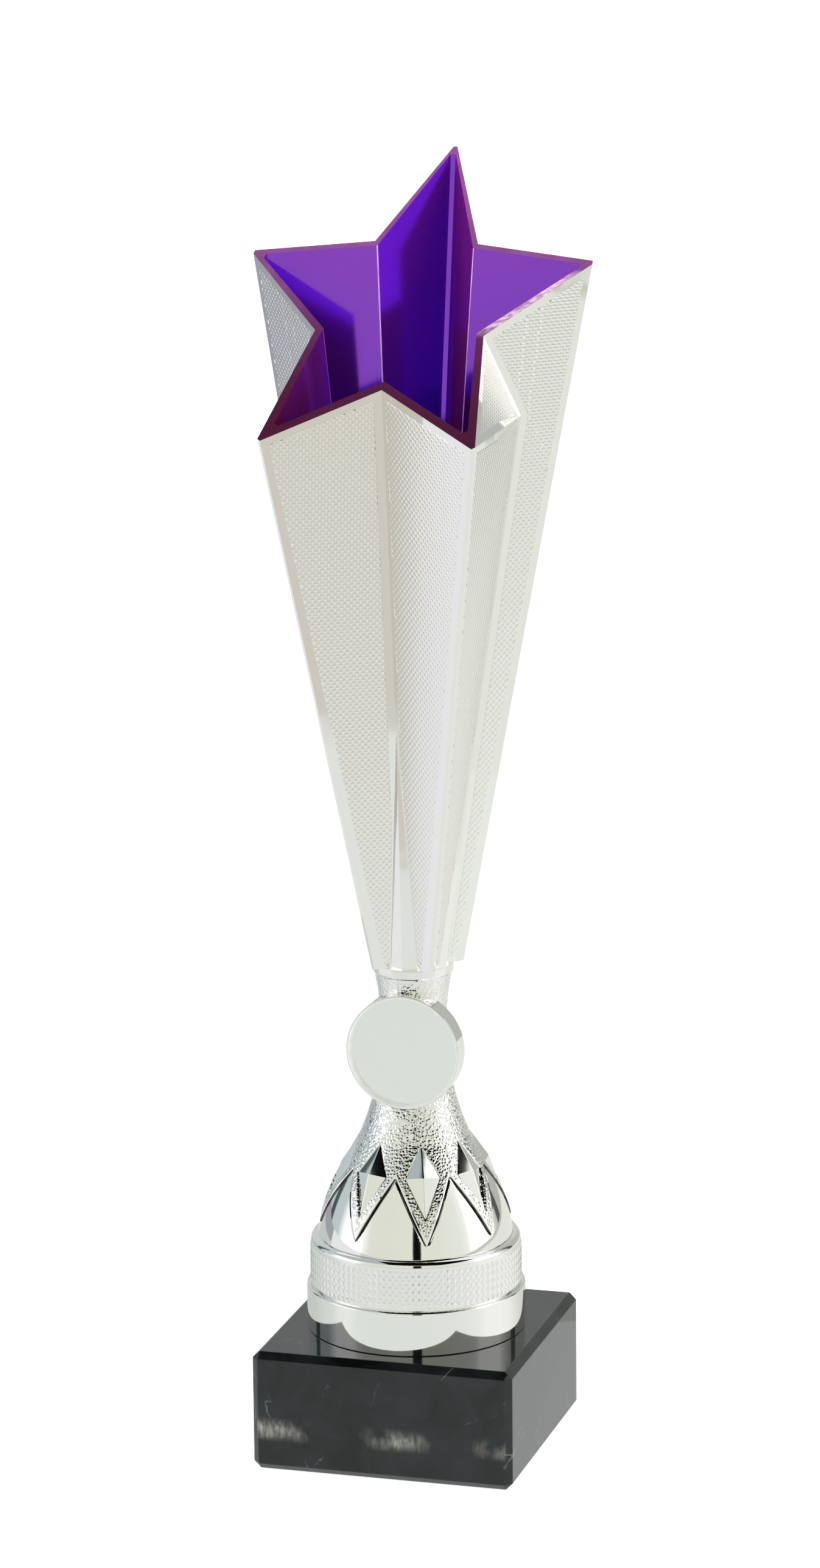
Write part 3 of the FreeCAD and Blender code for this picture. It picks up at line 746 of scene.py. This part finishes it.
def trim(bm, lines, normal):
    """Cuts a flat patch down to the area that its border lines enclose."""
    corners = [intersect_line_plane(at, at + outward.cross(normal), next_at, next_outward)
               for (at, outward), (next_at, next_outward) in zip(lines, lines[1:] + lines[:1])]
    triangles = [[corners[i] for i in triple] for triple in tessellate_polygon([corners])]
    for at, outward in lines:
        bmesh.ops.bisect_plane(bm, geom=everything(bm), dist=0.005 * MM, plane_co=at,
                               plane_no=outward)
    outside = [f for f in bm.faces if not any(
        intersect_point_tri(f.calc_center_median(), *triangle) for triangle in triangles)]
    bmesh.ops.delete(bm, geom=outside, context="FACES")
    cuts = [e for e in bm.edges if e.is_manifold and any(
        all(abs((v.co - at).dot(outward)) < 0.006 * MM for v in e.verts) for at, outward in lines)]
    bmesh.ops.dissolve_edges(bm, edges=cuts, use_verts=False)
    bmesh.ops.remove_doubles(bm, verts=bm.verts, dist=0.04 * MM)


def knurled_patch(panel, lines, rise):
    """A field of small pyramids that fills a panel inside its borders."""
    across = Vector((0, 0, 1)).cross(panel.normal).normalized()
    up = panel.normal.cross(across)
    corners = [v.co for v in panel.verts]
    spans = []
    for axis in (across, up):
        reach = [c.dot(axis) for c in corners]
        spans.append((min(reach), max(reach)))
    columns, rows = (ceil((high - low) / KNURL_PITCH) + 1 for low, high in spans)
    middle = (across * sum(spans[0]) / 2 + up * sum(spans[1]) / 2
              + panel.normal * corners[0].dot(panel.normal))
    place = (Matrix.Translation(middle)
             @ Matrix((across, up, panel.normal)).transposed().to_4x4()
             @ Matrix.Diagonal((columns * KNURL_PITCH, rows * KNURL_PITCH, 1, 1)))
    bm = bmesh.new()
    bmesh.ops.create_grid(bm, x_segments=columns, y_segments=rows, size=0.5, matrix=place)
    seams = [e for e in bm.edges if e.is_manifold]
    bmesh.ops.poke(bm, faces=bm.faces)
    bmesh.ops.dissolve_edges(bm, edges=seams, use_verts=False)
    trim(bm, lines, panel.normal)
    for edge in bm.edges:
        edge.smooth = False
    bmesh.ops.poke(bm, faces=bm.faces, offset=rise, use_relative_offset=True)
    return bm


def purple_lacquer():
    """Translucent purple lacquer over the silver film: a deep coloured mirror, with a faint
    plum haze where it has little to reflect."""
    material, tree, shader, place = new_material(
        "purple_lacquer", Metallic=1.0, Roughness=0.1, Coat_Weight=0.15, Coat_Roughness=0.05,
        Specular_Tint=colour("#B890E4"), Sheen_Weight=0.2, Sheen_Roughness=0.8,
        Sheen_Tint=colour("#FF4A88"))
    tint = uneven_coat(tree, place, 40, 2.0, (0.3, "#7E42CE"), (0.7, "#8A4AD8"))[1]
    tree.links.new(tint.outputs["Color"], shader.inputs["Base Color"])
    return material


def plum_lacquer():
    """The lacquer's thick bead along the lip: the same gloss over a redder haze. On the right
    point's front lip it is rubbed thin, so the silver shows through it."""
    material, tree, shader, place = new_material(
        "plum_lacquer_lip", Metallic=1.0, Roughness=0.14, Coat_Weight=0.6, Coat_Roughness=0.06,
        Sheen_Weight=0.15, Sheen_Roughness=0.8, Sheen_Tint=colour("#F05C7C"))
    streak_per_metre = 1 / (0.7 * MM)
    rubbed_left, rubbed_right = 13 * MM, 17 * MM
    rubbed_front = -7 * MM, -4 * MM
    rubbed_back = 9 * MM, 11 * MM
    lip_heading = radians(36)
    tint = uneven_coat(tree, place, 6, 3.0, (0.35, "#7E4690"), (0.68, "#9650A8"))[1]
    axes = add_node(tree, "SeparateXYZ", {"Vector": place})
    right = add_node(tree, "MapRange", {"Value": axes.outputs["X"], "From Min": rubbed_left,
                                        "From Max": rubbed_right})
    front = add_node(tree, "MapRange", {"Value": axes.outputs["Y"], "From Min": rubbed_back[1],
                                        "From Max": rubbed_back[0]})
    behind = add_node(tree, "MapRange", {"Value": axes.outputs["Y"],
                                         "From Min": rubbed_front[0],
                                         "From Max": rubbed_front[1]})
    along = add_node(tree, "Mapping", {"Vector": place, "Rotation": (0, 0, lip_heading),
                                       "Scale": (9.0, 1.0, 1.0)}, vector_type="TEXTURE")
    streaks = add_node(tree, "TexNoise", {"Vector": along.outputs[0], "Scale": streak_per_metre,
                                          "Detail": 2.0})
    patchy = add_node(tree, "MapRange", {"Value": streaks.outputs["Fac"], "From Min": 0.35,
                                         "From Max": 0.65, "To Min": 0.45})
    paled = right
    for mask in (front, behind, patchy):
        paled = add_node(tree, "Math", {0: paled.outputs[0], 1: mask.outputs[0]},
                          operation="MULTIPLY")
    thin = add_node(tree, "Mix", {0: paled.outputs[0], 6: tint.outputs["Color"],
                                  7: colour("#E6C8E4")}, data_type="RGBA")
    metal = add_node(tree, "MapRange", {"Value": paled.outputs[0], "To Min": 1.0, "To Max": 0.2})
    tree.links.new(thin.outputs[2], shader.inputs["Base Color"])
    tree.links.new(metal.outputs[0], shader.inputs["Metallic"])
    return material


def ridge_painted_highlight():
    """The rounded inner ridges: a pale lilac painted highlight, the bright line along each ridge.
    """
    material, tree, shader, place = new_material(
        "ridge_painted_highlight_edge", Metallic=0.1, Roughness=0.35, Coat_Weight=0.6, Coat_Roughness=0.1)
    tint = uneven_coat(tree, place, 5, 3.0, (0.35, "#D08CE8"), (0.65, "#EEBCF4"))[1]
    tree.links.new(tint.outputs["Color"], shader.inputs["Base Color"])
    return material


def inner_edges(bm, side):
    """The sharp edges inside the cup: side 1 is its ridges, -1 its hollows."""
    return [e for e in bm.edges if not any(faces_out(f) or is_lip(f) for f in e.link_faces)
            and side * e.calc_face_angle_signed() > SHARP]


def star_cup():
    bm = cad_copy("star_cup")
    bm.normal_update()
    panels = [(face.normal.copy(), len(face.verts), border_lines(face)) for face in bm.faces
              if face.calc_area() > PANEL_AREA and faces_out(face) and not is_lip(face)]
    # The inner ridges are rounded and given a pale lilac painted highlight.
    for face in round_off(bm, inner_edges(bm, 1), RIDGE_HIGHLIGHT_WIDTH):
        face.material_index = RIDGE_HIGHLIGHT
    round_off(bm, inner_edges(bm, -1), INNER_EASE, segments=3)
    outer = [e for e in bm.edges if any(faces_out(f) or is_lip(f) for f in e.link_faces)
             and e.calc_face_angle() > SHARP]
    round_off(bm, outer, OUTER_EASE)
    bm.normal_update()
    for face in bm.faces:
        if is_lip(face):
            face.material_index = PLUM
        elif face.normal.z < -0.9:
            face.material_index = SILVER
        elif face.material_index != RIDGE_HIGHLIGHT:
            face.material_index = SILVER if faces_out(face) else PURPLE
    shade(bm.edges, 1)
    for normal, corners, lines in panels:
        panel = max((f for f in bm.faces if f.normal.dot(normal) > 0.9999),
                    key=lambda f: f.calc_area())
        rise = KNURL_RISE * (TRIANGLE_KNURL if corners == 3 else 1)
        field = add_mesh(bm, knurled_patch(panel, lines, rise))
        for face in field:
            face.material_index = KNURLED
        rim = [e for f in field for e in f.edges if e.is_boundary]
        for edge in rim:
            edge.smooth = False
        outline = list(panel.edges)
        bmesh.ops.delete(bm, geom=[panel], context="FACES_ONLY")
        filled = bmesh.ops.triangle_fill(bm, use_beauty=True, use_dissolve=False,
                                         edges=outline + rim, normal=normal)
        for item in filled["geom"]:
            if isinstance(item, bmesh.types.BMFace):
                item.material_index = SILVER
                item.normal_update()
                if item.normal.dot(normal) < 0:
                    item.normal_flip()
    bmesh.ops.delete(bm, geom=[e for e in bm.edges if e.is_wire], context="EDGES")
    finishes = [mirror_silver, textured_silver, purple_lacquer(), plum_lacquer(), ridge_painted_highlight()]
    make_piece("star_cup", bm, finishes, "metallised_plastic", "star_cup", smooth_below=40)


star_cup()


# Hardware. A zinc-plated M6 threaded rod holds the trophy together, with a punched washer and a
# hexagon nut in the block's counterbore and another pair on the floor of the cup.

ROD_RADIUS = 3.0
ROD_CORE = 2.45
ROD_CHAMFER = (0.3, 0.5)
THREAD_PITCH = 1.0
THREAD_START = 0.4
THREAD_STEPS = 24
NUT_FLATS = 10.0
NUT_BORE = 3.02
NUT_CORNER = 0.7
NUT_CHAMFER = 0.25
NUT_CHAMFER_SLOPE = 0.577
NUT_COUNTERSINK = (0.45, 0.5)
WASHER_BORE = 3.2


def bright_zinc():
    """Bright zinc plate: bluish white metal, slightly satin, with a faint yellow passivate."""
    material, tree, shader, place = new_material("bright_zinc_plate", Metallic=1.0)
    cloud, tint = uneven_coat(tree, place, 3, 4.0, (0.35, "#B9C0CA"), (0.7, "#CFCDBE"))
    satin = add_node(tree, "MapRange", {"Value": cloud.outputs["Fac"], "To Min": 0.22,
                                        "To Max": 0.38})
    tree.links.new(tint.outputs["Color"], shader.inputs["Base Color"])
    tree.links.new(satin.outputs[0], shader.inputs["Roughness"])
    return material


zinc = bright_zinc()


def threaded_rod():
    low, high = (corner.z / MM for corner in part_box("threaded_rod"))
    chamfer, rise = ROD_CHAMFER
    bm = turned([(0, low), (ROD_CORE - chamfer, low, 0.1), (ROD_CORE, low + rise, 0.1),
                 (ROD_CORE, high - rise, 0.1), (ROD_CORE - chamfer, high, 0.1), (0, high)],
                THREAD_STEPS)
    thread = bmesh.new()
    root, crest = ROD_CORE - 0.05, ROD_RADIUS - 0.01
    section = [thread.verts.new((r * MM, 0, (low + THREAD_START + z) * MM))
               for r, z in ((root, 0), (crest, 0.4), (crest, 0.52), (root, 0.92))]
    ring = [thread.edges.new(pair) for pair in zip(section, section[1:] + section[:1])]
    bmesh.ops.spin(thread, geom=section + ring, cent=(0, 0, 0), axis=(0, 0, 1), angle=2 * pi,
                   dvec=(0, 0, THREAD_PITCH / THREAD_STEPS * MM), steps=THREAD_STEPS)
    settle(thread)
    turns = 1
    while turns * THREAD_PITCH < high - low:
        copied = bmesh.ops.duplicate(thread, geom=everything(thread))["geom"]
        bmesh.ops.translate(thread, verts=[v for v in copied if isinstance(v, bmesh.types.BMVert)],
                            vec=(0, 0, turns * THREAD_PITCH * MM))
        turns *= 2
    bmesh.ops.remove_doubles(thread, verts=thread.verts, dist=0.005 * MM)
    bmesh.ops.bisect_plane(thread, geom=everything(thread), dist=0.001 * MM,
                           plane_co=(0, 0, (high - THREAD_START) * MM), plane_no=(0, 0, 1),
                           clear_outer=True)
    bmesh.ops.holes_fill(thread, edges=[e for e in thread.edges if e.is_boundary], sides=0)
    bmesh.ops.recalc_face_normals(thread, faces=thread.faces)
    add_mesh(bm, thread)
    make_piece("threaded_rod", bm, [zinc], "zinc_steel", "threaded_rod", smooth_below=35)


def hexagon_nut(name):
    low, high = (corner.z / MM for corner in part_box(name))
    face_radius = NUT_FLATS / 2 - NUT_CHAMFER
    outer = NUT_FLATS / 2 + NUT_CORNER
    wider, sink = NUT_COUNTERSINK
    mouth = NUT_BORE + wider
    bm = turned([(NUT_BORE, low + sink), (mouth, low), (face_radius, low), (outer, low),
                 (outer, high), (face_radius, high), (mouth, high), (NUT_BORE, high - sink),
                 (NUT_BORE, low + sink)], 72)
    for vert in bm.verts:
        if vert.co.xy.length > (outer - 0.1) * MM:
            turn = atan2(vert.co.y, vert.co.x) % (pi / 3) - pi / 6
            reach = NUT_FLATS / 2 / cos(turn)
            vert.co.xy = vert.co.xy.normalized() * reach * MM
            chamfer = (reach - face_radius) * NUT_CHAMFER_SLOPE * MM
            vert.co.z += chamfer if vert.co.z < (low + high) / 2 * MM else -chamfer
    make_piece(name, bm, [zinc], "zinc_steel", name, smooth_below=20)


def punched_washer(name):
    corner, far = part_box(name)
    outer, low, high = far.x / MM, corner.z / MM, far.z / MM
    bm = turned([(WASHER_BORE, low, 0.1), (outer, low, 0.12), (outer, high, 0.35),
                 (WASHER_BORE, high, 0.2), (WASHER_BORE, low, 0.1)], 72)
    make_piece(name, bm, [zinc], "zinc_steel", name)


threaded_rod()
hexagon_nut("base_nut")
hexagon_nut("cup_nut")
punched_washer("base_washer")
punched_washer("cup_washer")


# Camera, light and floor. The floor and the world are plain white, with two soft lights. Round
# the trophy stand and lie plain cards, pale and dark, whose tones are listed and which only
# reflections show: silver has no tone of its own and takes its light and dark sides from them.

CAMERA_TURN = radians(16.159)
CAMERA_RISE = radians(13.438)
CAMERA_ROLL = radians(-0.57)
CAMERA_DISTANCE = 1.3056
CAMERA_LENS = 131.14
SENSOR_HEIGHT = 36
TARGET_RIGHT = -0.31 * MM
TARGET_HEIGHT = 157.6 * MM
CARD_STEPS = 24
WALL_DISTANCE = 1.7
LIGHT_SIZE = (0.8, 1.0)


def place_camera():
    back = Vector((sin(CAMERA_TURN) * cos(CAMERA_RISE), -cos(CAMERA_TURN) * cos(CAMERA_RISE),
                   sin(CAMERA_RISE)))
    level = Vector((cos(CAMERA_TURN), sin(CAMERA_TURN), 0))
    upright = back.cross(level)
    right = level * cos(CAMERA_ROLL) + upright * sin(CAMERA_ROLL)
    up = upright * cos(CAMERA_ROLL) - level * sin(CAMERA_ROLL)
    target = level * TARGET_RIGHT + Vector((0, 0, TARGET_HEIGHT))
    data = bpy.data.cameras.new("camera")
    data.sensor_fit = "VERTICAL"
    data.sensor_height = SENSOR_HEIGHT
    data.lens = CAMERA_LENS
    camera = bpy.data.objects.new("camera", data)
    scene.collection.objects.link(camera)
    camera.matrix_world = (Matrix.Translation(target + back * CAMERA_DISTANCE)
                           @ Matrix((right, up, back)).transposed().to_4x4())
    scene.camera = camera


def glow(name, hex_value, strength=1.0):
    """A plain glowing card's material."""
    material = bpy.data.materials.new(name)
    material.use_nodes = True
    tree = material.node_tree
    tree.nodes.remove(tree.nodes["Principled BSDF"])
    light = add_node(tree, "Emission", {"Color": colour(hex_value), "Strength": strength})
    tree.links.new(light.outputs[0], tree.nodes["Material Output"].inputs["Surface"])
    return material


def put_card(name, bm, material):
    """Puts up a card that only the reflections on the trophy show."""
    card = new_object(name, bm, [material])
    card.visible_camera = False
    card.visible_diffuse = False
    card.visible_shadow = False
    card.visible_transmission = False


def swept(start, end, near, far, steps):
    """Sweeps an edge round the trophy between two headings in degrees, where 0 is the front and
    90 the right. The edge's two ends are a distance and a height in metres."""
    first = Matrix.Rotation(radians(start) - pi / 2, 3, "Z")
    bm = bmesh.new()
    ends = [bm.verts.new(first @ Vector((distance, 0, z))) for distance, z in (near, far)]
    edge = bm.edges.new(ends)
    bmesh.ops.spin(bm, geom=ends + [edge], cent=(0, 0, 0), axis=(0, 0, 1),
                   angle=radians(end - start), steps=steps, use_merge=end - start == 360)
    return bm


def standing_card(name, hex_value, start, end, low=0.0, high=1.1, distance=WALL_DISTANCE):
    """A curved card that stands round a part of the trophy."""
    bm = swept(start, end, (distance, low), (distance, high), CARD_STEPS)
    put_card(name, bm, glow(name, hex_value))


def lying_card(name, hex_value, start, end, inner, outer, height):
    """A flat card, part of a ring round the trophy."""
    bm = swept(start, end, (inner, height), (outer, height), CARD_STEPS)
    put_card(name, bm, glow(name, hex_value))


def round_card(name, near, far, strength, stops):
    """A ring round the trophy, standing or lying, whose colour changes softly with the heading:
    the stops are headings in degrees from -90 to 270, with their colours."""
    bm = swept(90, 450, near, far, 4 * CARD_STEPS)
    material = glow(name, "#FFFFFF", strength)
    tree = material.node_tree
    place = add_node(tree, "TexCoord", {}).outputs["Object"]
    heading = add_node(tree, "TexGradient", {"Vector": place}, gradient_type="RADIAL")
    shades = add_node(tree, "ValToRGB", {"Fac": heading.outputs["Fac"]})
    ramp = shades.color_ramp
    for degrees, hex_value in stops[1:-1]:
        ramp.elements.new((degrees + 90) / 360).color = colour(hex_value)
    ramp.elements[0].color = colour(stops[0][1])
    ramp.elements[-1].color = colour(stops[-1][1])
    tree.links.new(shades.outputs["Color"], tree.nodes["Emission"].inputs["Color"])
    put_card(name, bm, material)


def ceiling(name, hex_value, left, right, front, back, height):
    """A flat rectangular card over the trophy."""
    bm = bmesh.new()
    bmesh.ops.create_grid(bm, x_segments=1, y_segments=1, size=0.5)
    bmesh.ops.scale(bm, verts=bm.verts, vec=(right - left, back - front, 1))
    bmesh.ops.translate(bm, verts=bm.verts,
                        vec=((left + right) / 2, (front + back) / 2, height))
    put_card(name, bm, glow(name, hex_value))


def soft_light(name, place, power):
    """A large soft light that faces the trophy."""
    data = bpy.data.lights.new(name, "AREA")
    data.shape = "RECTANGLE"
    data.size, data.size_y = LIGHT_SIZE
    data.energy = power
    light = bpy.data.objects.new(name, data)
    scene.collection.objects.link(light)
    light.location = place
    light.rotation_euler = Vector(place).to_track_quat("Z", "Y").to_euler()
    light.visible_glossy = False


def white_studio():
    world = bpy.data.worlds.new("white_studio")
    scene.world = world
    world.use_nodes = True
    background = world.node_tree.nodes["Background"]
    background.inputs["Color"].default_value = (1, 1, 1, 1)
    background.inputs["Strength"].default_value = 1.0
    scene.view_settings.view_transform = "Standard"
    material = new_material("white_floor", Base_Color=colour("#FFFFFF"), Roughness=0.9,
                            Emission_Color=colour("#FFFFFF"), Emission_Strength=0.75)[0]
    bm = bmesh.new()
    bmesh.ops.create_grid(bm, x_segments=4, y_segments=4, size=8.0)
    floor = new_object("floor", bm, [material])
    floor.visible_glossy = False


place_camera()
white_studio()

round_card("wall", (WALL_DISTANCE, -0.1), (WALL_DISTANCE, 1.6), 1.4, [
    (-90, "#ABB5B9"), (-84, "#CFD6DA"), (-76, "#FBFDFF"), (-54, "#FBFDFF"), (-48, "#DDE0DE"),
    (-40, "#C8CAC5"), (-20, "#C7CAC0"), (4, "#CACCC1"), (40, "#C8CCC1"), (70, "#CED1CC"),
    (80, "#D9DCD8"), (86, "#FFFFFF"), (112, "#FFFFFF"), (119, "#DADBDA"), (127, "#BBBEBC"),
    (134, "#A0A3A0"), (148, "#A0A4A0"), (172, "#A3A6A1"), (186, "#B4B7B6"),
    (225, "#B4B7B9"), (238, "#A9B1B5"), (270, "#ABB5B9")])
standing_card("camera_stand", "#0A0A0A", 12.4, 21.8, low=-0.1, distance=1.5)
standing_card("left_gap", "#4E5A60", -116, -107, distance=1.6)
standing_card("right_gap", "#5A5D58", 134, 143, distance=1.6)

round_card("near_floor", (0.0, -0.002), (0.42, -0.002), 1.0, [
    (-90, "#D9DFDD"), (-75, "#DFE5E3"), (-66, "#F0F2F1"), (-56, "#F3F6F5"), (-44, "#E8EEEC"),
    (-20, "#E6ECEA"), (30, "#E9EEEC"), (60, "#EEF0EE"), (76, "#F0F6F2"), (88, "#FDFFFC"),
    (106, "#FFFFFF"), (120, "#F9FBF8"), (130, "#EEF0ED"), (145, "#DEE0DD"), (160, "#D8DBD7"),
    (200, "#C8CECB"), (250, "#CBD1CF"), (270, "#D9DFDD")])
lying_card("block_right_floor", "#F6F8F7", 60, 170, 0.0, 0.105, -0.001)
lying_card("front_floor", "#D8D4CC", -50, 62, 0.42, 1.7, -0.003)
lying_card("right_floor", "#EFF1EC", 62, 140, 0.42, 0.95, -0.003)
lying_card("far_right_floor", "#C4C6C0", 62, 140, 0.95, 1.7, -0.003)
lying_card("back_right_floor", "#EDEFEA", 130, 220, 0.2, 0.95, -0.0015)
lying_card("back_floor", "#BCBEB8", 140, 200, 0.95, 1.7, -0.0014)
lying_card("left_floor", "#F2F2F8", -98, -50, 0.24, 1.7, -0.0015)
lying_card("back_left_floor", "#A6A7B2", -180, -98, 0.42, 1.7, -0.003)
ceiling("dark_ceiling", "#060606", -0.35, 1.10, -1.08, 0.10, 1.0)
ceiling("left_ceiling", "#B5BEC2", -1.8, -0.35, -1.08, 0.3, 1.02)
soft_light("left_light", (-1.2, -0.5, 0.9), 8)
soft_light("right_light", (1.3, -0.3, 1.0), 10)
